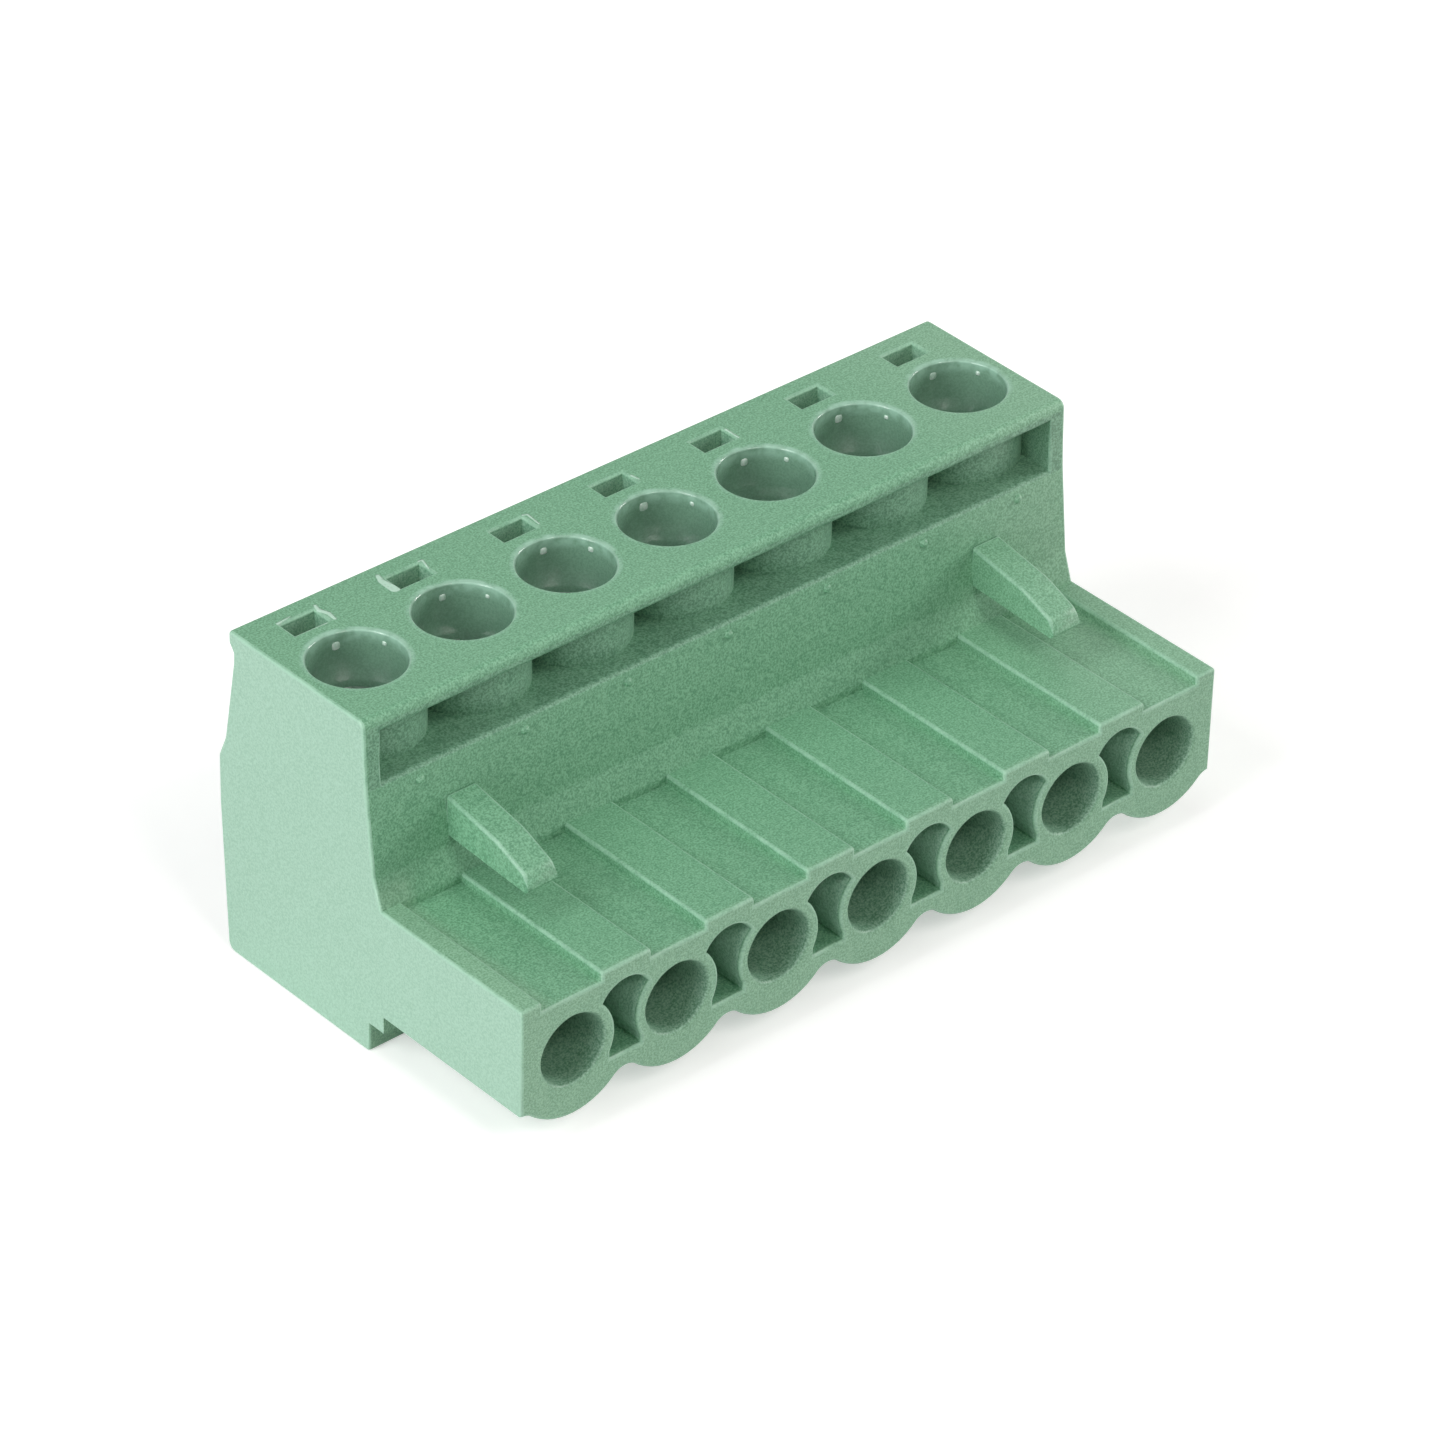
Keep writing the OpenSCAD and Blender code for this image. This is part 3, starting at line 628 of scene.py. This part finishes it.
def studio():
    """A dim dome that is white where the camera, glass or metal sees it, and the lamps."""
    world = bpy.data.worlds.new("studio")
    scene.world = world
    world.use_nodes = True
    tree = world.node_tree
    tree.nodes.clear()
    path = tree.nodes.new("ShaderNodeLightPath")
    seen = path.outputs["Is Camera Ray"]
    for ray in ("Is Transmission Ray", "Is Glossy Ray"):
        either = tree.nodes.new("ShaderNodeMath")
        either.operation = "MAXIMUM"
        tree.links.new(seen, either.inputs[0])
        tree.links.new(path.outputs[ray], either.inputs[1])
        seen = either.outputs[0]
    mix = tree.nodes.new("ShaderNodeMixShader")
    tree.links.new(seen, mix.inputs[0])
    for place, strength in ((1, DOME), (2, 1.0)):
        light = tree.nodes.new("ShaderNodeBackground")
        light.inputs["Color"].default_value = grey(1.0)
        light.inputs["Strength"].default_value = strength
        tree.links.new(light.outputs[0], mix.inputs[place])
    out = tree.nodes.new("ShaderNodeOutputWorld")
    tree.links.new(mix.outputs[0], out.inputs["Surface"])

    for name, at, side, radiance, tint in LAMPS:
        area_light(name, at, side, radiance, tint)


def floor():
    """A pale floor that is white to the camera where it is lit and keeps the object's shadow."""
    m = Material("paper_floor")
    path = m.add("LightPath")
    seen = m.math("MAXIMUM", path.outputs["Is Camera Ray"], path.outputs["Is Glossy Ray"])
    seen = m.math("MAXIMUM", seen, path.outputs["Is Transmission Ray"])
    fibre = m.noise(m.add("TexCoord").outputs["Object"], scale=900.0)
    colour = m.mix_colour(fibre, grey(PAPER_DARK), grey(PAPER_LIGHT))
    paper = m.add("BsdfDiffuse", Color=colour)
    glow = m.add("Emission", Color=grey(1.0), Strength=FLOOR_GLOW)
    lit = m.add("AddShader", i0=paper.outputs[0], i1=glow.outputs[0])
    mix = m.add("MixShader", i0=seen, i1=paper.outputs[0], i2=lit.outputs[0])
    mesh = bpy.data.meshes.new("floor")
    half = FLOOR_HALF
    corners = [(-half, -half, 0), (half, -half, 0), (half, half, 0), (-half, half, 0)]
    mesh.from_pydata(corners, [], [(0, 1, 2, 3)])
    piece = bpy.data.objects.new("floor", mesh)
    scene.collection.objects.link(piece)
    piece.location.z = -FLOOR_DROP * MM
    paint(piece, m.finish(mix.outputs[0]))


def camera():
    """The photograph's camera: same place, turn and focal length."""
    data = bpy.data.cameras.new("camera")
    data.sensor_width = SENSOR_MM
    data.lens = FOCAL_PX / FRAME_PX * SENSOR_MM
    data.clip_start = 0.01
    data.clip_end = 10.0
    piece = bpy.data.objects.new("camera", data)
    scene.collection.objects.link(piece)
    forward = Vector(CAMERA_FORWARD).normalized()
    right = forward.cross(Vector(CAMERA_UP)).normalized()
    up = right.cross(forward)
    turn = Matrix((right, up, -forward)).transposed().to_4x4()
    piece.matrix_world = Matrix.Translation(Vector(CAMERA_AT) * MM) @ turn
    scene.camera = piece


camera()
floor()
studio()
scene.view_settings.view_transform = "Standard"
